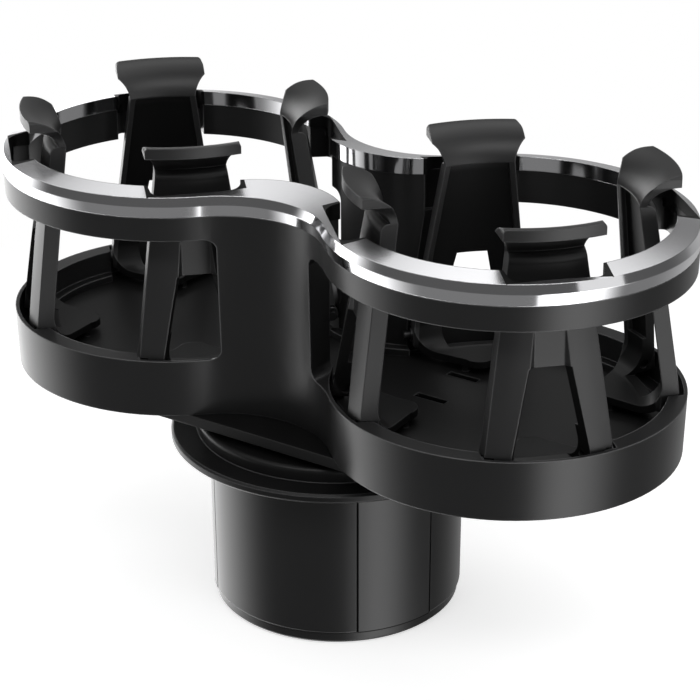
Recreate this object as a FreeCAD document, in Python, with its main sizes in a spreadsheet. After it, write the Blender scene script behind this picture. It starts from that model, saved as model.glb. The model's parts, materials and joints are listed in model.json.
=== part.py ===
import FreeCAD, Part
import math
import os
import Sketcher

Vector = FreeCAD.Vector

# Twin cup holder on an expanding base that drops into a car's cup recess.
# The origin is on the swivel axis at the underside of the base. +Z is up and +X runs along the
# two wells. Millimetres and degrees throughout.

SIZES = (
    # The two wells, and the walls round them at the foot and at the band.
    ("well_radius", 42.0),
    ("well_waist", 15.5),
    ("well_spread", 11.5),
    ("body_wall", 4.6),
    ("body_waist_wall", 8.8),
    ("band_wall", 5.9),
    ("band_waist_wall", 9.9),
    # Heights of the holder, from its underside up.
    ("tray_height", 16.0),
    ("window_height", 34.5),
    ("band_height", 6.6),
    ("pillar_half_width", 13.4),
    ("pillar_shift", 3.1),
    ("window_round", 2.8),
    ("spigot_height", 2.6),
    ("spigot_wall", 1.7),
    ("seat_gap", 0.1),
    # Floor of the wells and the ledge that it is pressed against.
    ("deck_height", 5.2),
    ("deck_thick", 2.2),
    ("ledge_height", 2.0),
    ("ledge_depth", 2.9),
    ("slot_length", 9.3),
    ("slot_width", 2.3),
    ("slot_pitch", 16.4),
    ("slot_place", 20.4),
    ("slot_shift", 4.5),
    ("post_radius", 1.1),
    ("post_inset", 14.3),
    ("post_spread", 3.6),
    # Bright trim.
    ("trim_flare", 0.6),
    ("trim_skirt", 3.1),
    ("trim_chamfer", 1.0),
    ("trim_chamfer_height", 2.3),
    ("trim_slope_height", 2.35),
    ("trim_slope_run", 11.3),
    ("trim_lip", 0.3),
    # Gripping claws, in a frame on the axis of their well.
    ("claw_thick", 2.0),
    ("leg_depth", 4.0),
    ("lean_angle", 9.8),
    ("foot_lift", 2.0),
    ("foot_inset", 18.6),
    ("foot_tip_half", 4.2),
    ("foot_tip_length", 2.8),
    ("bend_radius", 6.5),
    ("bend_inset", 8.2),
    ("leg_half", 16.2),
    ("leg_drop", 0.2),
    ("neck_half", 9.5),
    ("neck_rise", 0.45),
    ("bulge_drop", 2.2),
    ("bulge_radius", 2.4),
    ("flare_rise", 5.7),
    ("flare_radius", 8.0),
    ("head_half", 12.6),
    ("head_overhang", 0.4),
    ("head_rise", 8.7),
    ("head_rim", 3.0),
    ("head_curve", 10.7),
    ("head_corner", 1.2),
    ("web_height", 12.7),
    ("web_recess", 1.4),
    ("web_flank_ratio", 1.15),
    ("arch_lift", 0.3),
    ("arch_top_half", 3.8),
    ("arch_foot_half", 8.6),
    ("arch_draft_ratio", 0.42),
    ("hollow_depth", 1.2),
    ("hollow_rim", 1.6),
    ("hollow_lift", 5.8),
    ("hinge_drop", 2.4),
    ("heel_drop", 2.3),
    ("spring_room", 2.3),
    ("pin_radius", 1.25),
    ("pin_inner", 10.6),
    ("pin_overhang", 1.6),
    ("side_gap", 0.6),
    ("back_gap", 0.2),
    ("spring_radius", 1.7),
    ("spring_wire", 0.3),
    # Notches that the claws swing into.
    ("notch_depth", 3.7),
    ("notch_half_inner", 13.0),
    ("notch_half_outer", 12.2),
    ("notch_round", 1.5),
    ("trim_notch_half_inner", 12.9),
    ("trim_notch_half_outer", 11.4),
    ("trim_notch_round", 3.2),
    ("socket_depth", 3.9),
    # Cover under the holder and the hub that turns on the base.
    ("cover_thick", 2.0),
    ("shelf_height", 3.0),
    ("shelf_half_width", 35.5),
    ("shelf_half_length", 60.0),
    ("shelf_round", 18.0),
    ("hub_radius", 30.0),
    ("hub_height", 1.8),
    ("hub_boss_radius", 10.0),
    ("hub_screw_place", 20.0),
    ("cover_screw_x", 34.0),
    ("cover_screw_y", 24.0),
    ("screw_radius", 1.5),
    ("screw_head_radius", 2.9),
    ("screw_head_height", 1.0),
    ("deck_boss_radius", 3.6),
    # Knob that opens the base.
    ("run_gap", 0.3),
    ("fit_gap", 0.1),
    ("knob_radius", 45.7),
    ("knob_height", 2.6),
    ("knob_bevel", 0.6),
    ("collar_radius", 38.7),
    ("collar_height", 4.0),
    ("collar_inner", 31.0),
    ("collar_round", 1.4),
    ("groove_depth", 1.6),
    # Expanding base.
    ("cap_height", 3.4),
    ("cap_inset", 0.7),
    ("cap_bevel", 0.8),
    ("panel_height", 44.8),
    ("panel_foot_radius", 35.0),
    ("panel_taper", 0.3),
    ("panel_wall", 2.2),
    ("strip_angle", 37.0),
    ("strip_start_angle", -27.8),
    ("seam_angle", 0.4),
    ("tube_radius", 7.5),
    ("bolt_radius", 2.9),
    ("bolt_head_radius", 5.0),
    ("bolt_head_height", 3.0),
    ("washer_radius", 8.0),
    ("washer_thick", 1.0),
    ("nut_radius", 5.6),
    ("nut_height", 2.4),
    ("cap_screw_inset", 8.0),
    ("cap_screw_length", 12.0),
    ("core_boss_radius", 3.4),
    ("knob_boss_radius", 11.0),
    ("rail_lip", 1.0),
    ("floor_thick", 2.6),
    ("bridge_drop", 5.0),
    ("bridge_thick", 2.2),
    ("web_thick", 3.0),
    ("tongue_half", 8.0),
    ("tongue_thick", 3.0),
    ("tongue_inner", 13.0),
    ("rail_thick", 2.0),
    ("rail_inner", 12.0),
    ("rail_margin", 2.6),
    ("slide_pin_radius", 1.75),
    ("slide_pin_place", 20.0),
    ("slide_travel", 10.0),
    ("knob_turn", 90.0),
    ("cam_gap", 0.2),
)

WELLS = {"left": -1, "right": 1}
CORNERS = {"outer_back": 45, "inner_back": 135, "inner_front": 225, "outer_front": 315}
BASE_SECTORS = 3
CLAW_SECTOR = 60
CAM_STEPS = 8

doc = FreeCAD.newDocument("TwinCupHolder")
sheet = doc.addObject("Spreadsheet::Sheet", "Sizes")
for row, (alias, number) in enumerate(SIZES, start=1):
    sheet.set("A%d" % row, alias)
    sheet.set("B%d" % row, str(number))
    sheet.setAlias("B%d" % row, alias)
doc.recompute()


class Expr:
    """A length worked out from the sheet, kept as the text of its expression."""

    def __init__(self, text):
        self.text = str(text)

    def __str__(self):
        return self.text

    def __add__(self, other):
        return Expr("(%s + %s)" % (self, other))

    def __radd__(self, other):
        return Expr("(%s + %s)" % (other, self))

    def __sub__(self, other):
        return Expr("(%s - %s)" % (self, other))

    def __rsub__(self, other):
        return Expr("(%s - %s)" % (other, self))

    def __mul__(self, other):
        return Expr("(%s * %s)" % (self, other))

    def __rmul__(self, other):
        return Expr("(%s * %s)" % (other, self))

    def __truediv__(self, other):
        return Expr("(%s / %s)" % (self, other))

    def __neg__(self):
        return Expr("(0 - %s)" % self)

    def __float__(self):
        return float(sheet.evalExpression(self.text))


def size(alias):
    return Expr("Sizes." + alias)


def root(expr):
    return Expr("sqrt(%s)" % expr)


def sine(expr):
    return Expr("sin(%s * 1 deg)" % expr)


def cosine(expr):
    return Expr("cos(%s * 1 deg)" % expr)


def tangent(expr):
    return Expr("tan(%s * 1 deg)" % expr)


# Outlines of the holder.
WELL = size("well_radius")
WAIST = size("well_waist")
LOBE = WELL + size("well_spread")
BODY = WELL + size("body_wall")
BODY_WAIST = WAIST + size("body_waist_wall")
BAND = WELL + size("band_wall")
BAND_WAIST = WAIST + size("band_waist_wall")

# Places of the claws' parts, outwards from the axis of their well.
FOOT_TIP = WELL - size("foot_inset")
BEND = WELL - size("bend_inset")
HEAD = WELL + size("head_overhang")
NOTCH_BACK = WELL + size("notch_depth")
SOCKET_BACK = WELL + size("socket_depth")
HEEL_HALF = size("leg_half") - size("spring_room")
SPRING_START = HEEL_HALF + size("run_gap")
SPRING_END = size("leg_half") + size("side_gap") - size("run_gap")
SPRING_OUTER = size("spring_radius") + size("spring_wire")
SPRING_BACK = SOCKET_BACK - size("back_gap")
HINGE_PLACE = root(SPRING_BACK * SPRING_BACK - SPRING_END * SPRING_END) - SPRING_OUTER
PIN_END = size("leg_half") + size("side_gap") + size("pin_overhang")

# Distance of the cap screws from the axis of the base.
CAP_SCREWS = size("panel_foot_radius") - size("cap_screw_inset")

# Levels above the underside of the base.
CAP_TOP = size("cap_height")
BASE_TOP = CAP_TOP + size("panel_height")
KNOB_BOTTOM = BASE_TOP + size("run_gap")
KNOB_TOP = KNOB_BOTTOM + size("knob_height")
COLLAR_TOP = KNOB_TOP + size("collar_height")
HUB_BOTTOM = COLLAR_TOP + size("run_gap")
SHELF_BOTTOM = HUB_BOTTOM + size("hub_height")
HOLDER_BOTTOM = SHELF_BOTTOM + size("shelf_height")
DECK_BOTTOM = HOLDER_BOTTOM + size("deck_height")
DECK_TOP = DECK_BOTTOM + size("deck_thick")
LEDGE_TOP = DECK_TOP + size("ledge_height")
SILL = HOLDER_BOTTOM + size("tray_height")
BAND_BOTTOM = SILL + size("window_height")
BAND_TOP = BAND_BOTTOM + size("band_height")
SPIGOT_TOP = BAND_TOP + size("spigot_height")
TRIM_EDGE = BAND_TOP + size("trim_skirt")
TRIM_SHOULDER = TRIM_EDGE + size("trim_chamfer_height")
TRIM_TOP = TRIM_SHOULDER + size("trim_slope_height")
FOOT_BOTTOM = DECK_TOP + size("foot_lift")
FOOT_TOP = FOOT_BOTTOM + size("claw_thick")
HINGE = SILL - size("hinge_drop")
HEEL = HINGE - size("heel_drop")
LEG_FOOT = SILL - size("leg_drop")
ARCH_TOP = BAND_BOTTOM - size("web_height")
NECK = TRIM_TOP + size("neck_rise")
HEAD_TOP = NECK + size("head_rise")
BRIDGE_TOP = BASE_TOP - size("bridge_drop")
FLOOR_TOP = CAP_TOP + size("floor_thick")
BEYOND = 2.0


def new_body(label):
    body = doc.addObject("PartDesign::Body", label)
    body.Label = label
    return body


def new_sketch(body, name, role, level=0):
    """A sketch on one of the body's own origin planes, moved along its normal to the level."""
    sketch = body.newObject("Sketcher::SketchObject", name)
    plane = next(item for item in body.Origin.OriginFeatures if item.Role == role)
    sketch.AttachmentSupport = (plane, "")
    sketch.MapMode = "FlatFace"
    sketch.setExpression(".AttachmentOffset.Base.z", str(level))
    return sketch


def tie(sketch, kind, refs, value):
    """Adds a dimension to the sketch and binds it to the sheet."""
    index = sketch.addConstraint(Sketcher.Constraint(kind, *refs, float(value)))
    if isinstance(value, Expr):
        sketch.setExpression("Constraints[%d]" % index, str(value))


def arc_between(start, end, radius, side, major):
    """The arc from start to end with its centre to the left (side 1) or right (side -1)."""
    half = (end - start) * 0.5
    left = Vector(-half.y, half.x, 0).normalize()
    rise = math.sqrt(max(radius ** 2 - half.Length ** 2, 0))
    if major:
        rise = -rise
    centre = start + half + left * (side * rise)
    first, last = (start, end) if side > 0 else (end, start)
    begin = math.atan2(first.y - centre.y, first.x - centre.x)
    finish = math.atan2(last.y - centre.y, last.x - centre.x)
    if finish <= begin:
        finish += 2 * math.pi
    return Part.ArcOfCircle(Part.Circle(centre, Vector(0, 0, 1), radius), begin, finish)


def draw(sketch, corners, arcs=None):
    """A closed outline through the corners. arcs gives (radius, side, major) for a stretch that
    bends, by the number of the corner that it starts from."""
    arcs = arcs or {}
    places = [Vector(float(x), float(y), 0) for x, y in corners]
    first = sketch.GeometryCount
    ends = []
    for index, start in enumerate(places):
        end = places[(index + 1) % len(places)]
        if index in arcs:
            radius, side, major = arcs[index]
            sketch.addGeometry(arc_between(start, end, float(radius), side, major))
            ends.append((1, 2) if side > 0 else (2, 1))
        else:
            sketch.addGeometry(Part.LineSegment(start, end))
            ends.append((1, 2))
    for index, (x, y) in enumerate(corners):
        after = (index + 1) % len(corners)
        joint = (first + index, ends[index][1], first + after, ends[after][0])
        sketch.addConstraint(Sketcher.Constraint("Coincident", *joint))
        tie(sketch, "DistanceX", (-1, 1, first + index, ends[index][0]), x)
        tie(sketch, "DistanceY", (-1, 1, first + index, ends[index][0]), y)
    for index, (radius, side, major) in arcs.items():
        tie(sketch, "Radius", (first + index,), radius)


def draw_circle(sketch, x, y, radius):
    index = sketch.addGeometry(Part.Circle(Vector(float(x), float(y), 0), Vector(0, 0, 1), float(radius)))
    tie(sketch, "DistanceX", (-1, 1, index, 3), x)
    tie(sketch, "DistanceY", (-1, 1, index, 3), y)
    tie(sketch, "Radius", (index,), radius)


def draw_box(sketch, left, right, low, high, corner=None):
    """A rectangle, with rounded corners if a corner radius is given."""
    if corner is None:
        draw(sketch, [(left, low), (right, low), (right, high), (left, high)])
        return
    round_corner = (corner, 1, False)
    draw(sketch, [
        (left + corner, low), (right - corner, low), (right, low + corner), (right, high - corner),
        (right - corner, high), (left + corner, high), (left, high - corner), (left, low + corner),
    ], {1: round_corner, 3: round_corner, 5: round_corner, 7: round_corner})


def draw_figure_eight(sketch, radius, waist):
    """Two round lobes joined by hollow curves that touch both; waist is half the narrowest width."""
    offset = LOBE
    hollow = (offset * offset + waist * waist - radius * radius) / (2 * (radius - waist))
    reach = radius + hollow
    x = offset * hollow / reach
    y = (waist + hollow) * radius / reach
    draw(sketch, [(x, -y), (x, y), (-x, y), (-x, -y)], {
        0: (radius, 1, True), 1: (hollow, -1, False), 2: (radius, 1, True), 3: (hollow, -1, False)})


def pad(body, sketch, length, both_ways=False, down=False):
    feature = body.newObject("PartDesign::Pad", sketch.Name + "_pad")
    feature.Profile = sketch
    feature.setExpression("Length", str(length))
    feature.SideType = "Symmetric" if both_ways else "One side"
    feature.Reversed = down
    return feature


def pocket(body, sketch, depth=None, both_ways=False, up=False):
    """Cuts the sketch out of the body, right through if no depth is given."""
    feature = body.newObject("PartDesign::Pocket", sketch.Name + "_cut")
    feature.Profile = sketch
    if depth is None:
        feature.Type = "ThroughAll"
    else:
        feature.setExpression("Length", str(depth))
    feature.SideType = "Symmetric" if both_ways else "One side"
    feature.Reversed = up
    return feature


def revolve(body, sketch, angle=360, cut=False, centred=False):
    """Turns the sketch about the body's Z axis."""
    kind = "PartDesign::Groove" if cut else "PartDesign::Revolution"
    feature = body.newObject(kind, sketch.Name + "_turn")
    feature.Profile = sketch
    axis = next(item for item in body.Origin.OriginFeatures if item.Role == "Z_Axis")
    feature.ReferenceAxis = (axis, [""])
    feature.setExpression("Angle", str(angle))
    feature.Midplane = centred
    return feature


def ring_of(body, features, count):
    """Repeats features round the body's Z axis."""
    pattern = body.newObject("PartDesign::PolarPattern", features[-1].Name + "_ring")
    pattern.Originals = features
    axis = next(item for item in body.Origin.OriginFeatures if item.Role == "Z_Axis")
    pattern.Axis = (axis, [""])
    pattern.Angle = 360
    pattern.Occurrences = count
    body.Tip = pattern
    return pattern


def loft(body, sections, cut=False):
    kind = "PartDesign::SubtractiveLoft" if cut else "PartDesign::AdditiveLoft"
    feature = body.newObject(kind, sections[0].Name + "_loft")
    feature.Profile = sections[0]
    feature.Sections = sections[1:]
    feature.Ruled = True
    return feature


def placed_copy(shape, label, placement):
    """A further piece of the same shape, standing at its own placement."""
    piece = doc.addObject("Part::Feature", label)
    piece.Label = label
    piece.Shape = shape.transformed(placement.toMatrix())
    return piece


def claw_stations():
    """The label and the placement of each of the eight claws."""
    for well, side in WELLS.items():
        for corner, turn in CORNERS.items():
            if side < 0:
                turn = 180 - turn
            spin = FreeCAD.Rotation(Vector(0, 0, 1), turn)
            centre = Vector(side * float(LOBE), 0, 0)
            yield well + "_" + corner, FreeCAD.Placement(centre, spin)


def cutter_at_claws(name, shape):
    """One compound of the shape at every claw."""
    copies = []
    for label, placement in claw_stations():
        copy = shape.copy()
        copy.Placement = placement
        copies.append(copy)
    tool = doc.addObject("Part::Feature", name)
    tool.Shape = Part.makeCompound(copies)
    return tool


def upright_prism(points, low, high, corner=0):
    """A prism standing on the points, with its vertical edges rounded."""
    outline = Part.makePolygon([Vector(x, y, low) for x, y in points + points[:1]])
    prism = Part.Face(outline).extrude(Vector(0, 0, high - low))
    if corner:
        upright = [edge for edge in prism.Edges if abs(edge.tangentAt(0).z) > 0.99]
        prism = prism.makeFillet(corner, upright)
    return prism


def cut_from(base, tool, label):
    result = doc.addObject("Part::Cut", label)
    result.Base = base
    result.Tool = tool
    result.Label = label
    result.Refine = True
    return result


def notch_shape(name, low, high):
    """The gap in the band or in the trim that a claw swings into, wider towards the well."""
    inner = float(size(name + "_half_inner"))
    outer = float(size(name + "_half_outer"))
    corner = float(size(name + "_round"))
    near = math.sqrt(float(WELL) ** 2 - inner ** 2) - corner - BEYOND
    back = float(NOTCH_BACK)
    points = [(near, -inner), (back, -outer), (back, outer), (near, inner)]
    return upright_prism(points, float(low), float(high), corner)


def make_shell():
    """The moulded holder: tray walls, two pillars at the waist and the band round the top."""
    body = new_body("shell_body")
    foot = new_sketch(body, "shell_foot", "XY_Plane", HOLDER_BOTTOM)
    draw_figure_eight(foot, BODY, BODY_WAIST)
    crown = new_sketch(body, "shell_crown", "XY_Plane", BAND_TOP)
    draw_figure_eight(crown, BAND, BAND_WAIST)
    loft(body, [foot, crown])
    spigot = new_sketch(body, "shell_spigot", "XY_Plane", BAND_TOP)
    inset = size("spigot_wall") + size("seat_gap")
    draw_figure_eight(spigot, BAND - inset, BAND_WAIST - inset)
    pad(body, spigot, size("spigot_height"))
    wells = new_sketch(body, "shell_wells", "XY_Plane", LEDGE_TOP)
    draw_figure_eight(wells, WELL, WAIST)
    pocket(body, wells, SPIGOT_TOP - LEDGE_TOP + BEYOND, up=True)
    ledge = new_sketch(body, "shell_ledge", "XY_Plane", DECK_TOP)
    draw_figure_eight(ledge, WELL - size("ledge_depth"), WAIST - size("ledge_depth"))
    pocket(body, ledge, size("ledge_height") + BEYOND, up=True)
    under = new_sketch(body, "shell_under", "XY_Plane", DECK_TOP)
    draw_figure_eight(under, WELL, WAIST)
    pocket(body, under, DECK_TOP - HOLDER_BOTTOM + BEYOND)
    far = LOBE + BAND + size("window_round")
    half = size("pillar_half_width")
    for name, side in (("shell_window_front", -1), ("shell_window_back", 1)):
        window = new_sketch(body, name, "XZ_Plane")
        middle = side * size("pillar_shift")
        draw_box(window, middle + half, far, SILL, BAND_BOTTOM, size("window_round"))
        draw_box(window, -far, middle - half, SILL, BAND_BOTTOM, size("window_round"))
        pocket(body, window, up=side < 0)

    notch = notch_shape("notch", BAND_BOTTOM - BEYOND, SPIGOT_TOP + BEYOND)
    half = float(size("leg_half") + size("side_gap"))
    low = float(DECK_TOP)
    high = float(BAND_BOTTOM)
    near = float(FOOT_TIP)
    back = float(SOCKET_BACK)
    narrow = float(size("notch_half_outer"))
    sill = float(SILL)
    front = [(-half, low), (half, low), (half, sill), (narrow, high), (-narrow, high), (-half, sill)]
    outline = Part.makePolygon([Vector(near, y, z) for y, z in front + front[:1]])
    socket = Part.Face(outline).extrude(Vector(back - near + BEYOND, 0, 0))
    socket = socket.common(Part.makeCylinder(back, high - low, Vector(0, 0, low)))
    pin_half = half + float(size("pin_overhang"))
    pin_place = Vector(float(HINGE_PLACE), -pin_half, float(HINGE))
    bore = Part.makeCylinder(float(size("pin_radius")), 2 * pin_half, pin_place, Vector(0, 1, 0))
    tool = cutter_at_claws("shell_cutters", Part.makeCompound([notch, socket.fuse(bore)]))
    return cut_from(body, tool, "holder_shell")


def make_trim():
    """The bright ring on the band: skirt, chamfer and a top that slopes up to the wells."""
    body = new_body("trim_body")
    levels = (
        (BAND_TOP, 0),
        (TRIM_EDGE, -size("trim_flare")),
        (TRIM_SHOULDER, size("trim_chamfer") - size("trim_flare")),
        (TRIM_TOP, size("trim_chamfer") - size("trim_flare") + size("trim_slope_run")),
    )
    sections = []
    for index, (level, inset) in enumerate(levels):
        section = new_sketch(body, "trim_section_%d" % index, "XY_Plane", level)
        draw_figure_eight(section, BAND - inset, BAND_WAIST - inset)
        sections.append(section)
    loft(body, sections)
    inside = new_sketch(body, "trim_inside", "XY_Plane", BAND_TOP)
    draw_figure_eight(inside, WELL - size("trim_lip"), WAIST - size("trim_lip"))
    pocket(body, inside, TRIM_TOP - BAND_TOP + BEYOND, up=True)
    seat = new_sketch(body, "trim_seat", "XY_Plane", BAND_TOP)
    draw_figure_eight(seat, BAND - size("spigot_wall"), BAND_WAIST - size("spigot_wall"))
    pocket(body, seat, size("spigot_height"), up=True)
    tool = cutter_at_claws("trim_cutters", notch_shape("trim_notch", BAND_TOP - BEYOND, TRIM_TOP + BEYOND))
    return cut_from(body, tool, "trim_ring")


def make_deck():
    """The floor of both wells, with slots, stop posts for the claws' feet and screw bosses."""
    body = new_body("floor_deck")
    plate = new_sketch(body, "deck_plate", "XY_Plane", DECK_BOTTOM)
    draw_figure_eight(plate, WELL - size("seat_gap"), WAIST - size("seat_gap"))
    pad(body, plate, size("deck_thick"))
    slots = new_sketch(body, "deck_slots", "XY_Plane", DECK_TOP)
    half_length = size("slot_length") / 2
    half_width = size("slot_width") / 2
    for side in WELLS.values():
        middle = side * (LOBE - size("slot_place"))
        for row in (-1, 1):
            line = side * size("slot_shift") + row * size("slot_pitch") / 2
            draw_box(slots, middle - half_length, middle + half_length,
                     line - half_width, line + half_width)
    pocket(body, slots)
    posts = new_sketch(body, "deck_posts", "XY_Plane", DECK_TOP)
    place = WELL - size("post_inset")
    diagonal = math.sqrt(0.5)
    for side in WELLS.values():
        for along in (-1, 1):
            for across in (-1, 1):
                for step in (-1, 1):
                    x = (place * along - size("post_spread") * (across * step)) * diagonal
                    y = (place * across + size("post_spread") * (along * step)) * diagonal
                    draw_circle(posts, side * LOBE + x, y, size("post_radius"))
    pad(body, posts, size("foot_lift"))
    bosses = new_sketch(body, "deck_bosses", "XY_Plane", DECK_BOTTOM)
    for x, y in cover_screw_places():
        draw_circle(bosses, x, y, size("deck_boss_radius"))
    pad(body, bosses, size("deck_height") - size("cover_thick"), down=True)
    bores = new_sketch(body, "deck_bores", "XY_Plane", HOLDER_BOTTOM + size("cover_thick"))
    for x, y in cover_screw_places():
        draw_circle(bores, x, y, size("screw_radius"))
    pocket(body, bores, size("deck_height") - size("cover_thick"), up=True)
    return body


def cover_screw_places():
    return [(along * size("cover_screw_x"), across * size("cover_screw_y"))
            for along in (-1, 1) for across in (-1, 1)]


def hub_screw_places():
    turn = math.sqrt(0.5)
    return [(along * turn * size("hub_screw_place"), across * turn * size("hub_screw_place"))
            for along in (-1, 1) for across in (-1, 1)]


def make_cover():
    """The plate that closes the holder from below, with a straight-sided shelf for the hub."""
    body = new_body("bottom_cover")
    shelf = new_sketch(body, "cover_shelf", "XY_Plane", SHELF_BOTTOM)
    draw_box(shelf, -size("shelf_half_length"), size("shelf_half_length"),
             -size("shelf_half_width"), size("shelf_half_width"), size("shelf_round"))
    pad(body, shelf, size("shelf_height"))
    lid = new_sketch(body, "cover_lid", "XY_Plane", HOLDER_BOTTOM)
    draw_figure_eight(lid, WELL - size("seat_gap"), WAIST - size("seat_gap"))
    pad(body, lid, size("cover_thick"))
    bores = new_sketch(body, "cover_bores", "XY_Plane", SHELF_BOTTOM)
    draw_circle(bores, 0, 0, size("hub_boss_radius"))
    for x, y in cover_screw_places():
        draw_circle(bores, x, y, size("screw_radius"))
    pocket(body, bores, size("shelf_height") + size("cover_thick") + BEYOND, up=True)
    heads = new_sketch(body, "cover_heads", "XY_Plane", SHELF_BOTTOM)
    for x, y in cover_screw_places():
        draw_circle(heads, x, y, size("screw_head_radius"))
    pocket(body, heads, size("screw_head_height"), up=True)
    threads = new_sketch(body, "cover_threads", "XY_Plane", SHELF_BOTTOM)
    for x, y in hub_screw_places():
        draw_circle(threads, x, y, size("screw_radius"))
    pocket(body, threads, size("shelf_height"), up=True)
    return body


def make_hub():
    """The disc under the holder that turns on the tube of the base."""
    body = new_body("swivel_hub")
    disc = new_sketch(body, "hub_disc", "XY_Plane", HUB_BOTTOM)
    draw_circle(disc, 0, 0, size("hub_radius"))
    pad(body, disc, size("hub_height"))
    boss = new_sketch(body, "hub_boss", "XY_Plane", SHELF_BOTTOM)
    draw_circle(boss, 0, 0, size("hub_boss_radius") - size("seat_gap"))
    pad(body, boss, size("shelf_height"))
    bores = new_sketch(body, "hub_bores", "XY_Plane", HUB_BOTTOM)
    draw_circle(bores, 0, 0, size("bolt_radius") + size("fit_gap"))
    for x, y in hub_screw_places():
        draw_circle(bores, x, y, size("screw_radius"))
    pocket(body, bores, size("hub_height") + size("shelf_height") + BEYOND, up=True)
    heads = new_sketch(body, "hub_heads", "XY_Plane", HUB_BOTTOM)
    for x, y in hub_screw_places():
        draw_circle(heads, x, y, size("screw_head_radius"))
    pocket(body, heads, size("screw_head_height"), up=True)
    return body


def leg_face(level, depth=Expr(0)):
    """How far from its well's axis a claw's leg is at a level, at a depth from its inner face."""
    lean = size("lean_angle")
    knee = FOOT_TOP + size("bend_radius") * (1 + sine(lean))
    return (BEND + size("bend_radius") * cosine(lean) - (level - knee) * tangent(lean)
            + depth / cosine(lean))


def leg_edge(level):
    """Half the width of a claw's leg at a level."""
    narrowing = (size("leg_half") - size("neck_half")) / (NECK - LEG_FOOT)
    return size("leg_half") - (level - LEG_FOOT) * narrowing


def arch_edge(place, level):
    """Half the width of the arch, which widens downwards and, by its draft, outwards."""
    widening = (size("arch_foot_half") - size("arch_top_half")) / (ARCH_TOP - SILL)
    inner = size("arch_top_half") + (ARCH_TOP - level) * widening
    return inner + (place - leg_face(level)) * size("arch_draft_ratio")


def make_claw():
    """A gripping claw: flat foot, bend, two deep legs with a web sloping in between them, and a
    head that curls out over the trim. It is a sector of a turned profile, trimmed in plan and from
    the front, with its inner face hollowed between two edges."""
    body = new_body("claw_body")
    thick = size("claw_thick")
    lean = size("lean_angle")
    bend = size("bend_radius")
    middle = FOOT_TOP + bend
    start = FOOT_TIP - BEYOND
    heel_inner = BEND + root((bend + thick) * (bend + thick) - (middle - HEEL) * (middle - HEEL))
    bulge = NECK - size("bulge_drop")
    neck = leg_face(NECK)
    profile = new_sketch(body, "claw_profile", "XZ_Plane")
    draw(profile, [
        (start, FOOT_BOTTOM), (BEND, FOOT_BOTTOM), (heel_inner, HEEL),
        (leg_face(HEEL, size("leg_depth")), HEEL), (leg_face(bulge, size("leg_depth")), bulge),
        (neck + thick * cosine(lean), NECK + thick * sine(lean)), (HEAD, HEAD_TOP - size("head_rim")),
        (HEAD, HEAD_TOP), (neck, NECK), (BEND + bend * cosine(lean), middle + bend * sine(lean)),
        (BEND, FOOT_TOP), (start, FOOT_TOP),
    ], {
        1: (bend + thick, 1, False), 4: (size("bulge_radius"), 1, False),
        5: (size("head_curve") - thick, -1, False), 7: (size("head_curve"), 1, False),
        9: (bend, -1, False),
    })
    revolve(body, profile, CLAW_SECTOR, centred=True)

    plan = new_sketch(body, "claw_plan", "XY_Plane", FOOT_BOTTOM - BEYOND)
    near = start * cosine(CLAW_SECTOR / 2) - BEYOND
    far = NOTCH_BACK + BEYOND
    half = size("leg_half")
    wide = half * 2
    shoulder = root((BEND + bend) * (BEND + bend) - half * half)
    tip = FOOT_TIP + size("foot_tip_length")
    tip_half = size("foot_tip_half")
    tip_length = size("foot_tip_length")
    tip_radius = (tip_half * tip_half + tip_length * tip_length) / (2 * tip_length)
    draw(plan, [
        (shoulder, half), (far, half), (far, wide), (near, wide), (near, -wide),
        (far, -wide), (far, -half), (shoulder, -half), (tip, -tip_half), (tip, tip_half),
    ], {8: (tip_radius, -1, False)})
    pocket(body, plan, LEG_FOOT - FOOT_BOTTOM + BEYOND, up=True)

    front = new_sketch(body, "claw_front", "YZ_Plane")
    corner = size("head_corner")
    head_half = size("head_half")
    for side in (1, -1):
        draw(front, [
            (side * half, LEG_FOOT),
            (side * size("neck_half"), NECK),
            (side * head_half, NECK + size("flare_rise")),
            (side * head_half, HEAD_TOP - corner),
            (side * (head_half - corner), HEAD_TOP),
            (side * (head_half - corner), HEAD_TOP + BEYOND),
            (side * wide, HEAD_TOP + BEYOND),
            (side * wide, LEG_FOOT),
        ], {1: (size("flare_radius"), -side, False), 3: (corner, side, False)})
    pocket(body, front, both_ways=True)

    arch = []
    for name, place, low in (("claw_arch_inner", BEND, FOOT_TOP + size("arch_lift")),
                             ("claw_arch_outer", far, HEEL - BEYOND)):
        section = new_sketch(body, name, "YZ_Plane", place)
        draw(section, [
            (-arch_edge(place, low), low), (arch_edge(place, low), low),
            (arch_edge(place, ARCH_TOP), ARCH_TOP), (-arch_edge(place, ARCH_TOP), ARCH_TOP)])
        arch.append(section)
    loft(body, arch, cut=True)

    web = []
    web_half = size("arch_top_half")
    for name, level, recess in (("claw_web_foot", ARCH_TOP, size("web_recess")),
                                ("claw_web_top", BAND_BOTTOM, 0)):
        section = new_sketch(body, name, "XY_Plane", level)
        floor = leg_face(level, size("leg_depth")) - recess
        flank = web_half + (far - floor) * size("web_flank_ratio")
        draw(section, [(floor, -web_half), (far, -flank), (far, flank), (floor, web_half)])
        web.append(section)
    loft(body, web, cut=True)

    reach = size("spring_room") + BEYOND
    room = size("heel_drop")
    for side, name in ((1, "claw_room_front"), (-1, "claw_room_back")):
        beside = new_sketch(body, name, "XZ_Plane", side * HEEL_HALF)
        draw(beside, [
            (HINGE_PLACE, HINGE - room), (far, HINGE - room),
            (far, HINGE + room), (HINGE_PLACE, HINGE + room),
        ], {3: (room, 1, False)})
        pocket(body, beside, reach, up=side > 0)
    bore = new_sketch(body, "claw_bore", "XZ_Plane")
    draw_circle(bore, HINGE_PLACE, HINGE, size("pin_radius") + size("fit_gap"))
    pocket(body, bore, both_ways=True)
    return cut_from(body, claw_hollow(), "claw")


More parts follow.
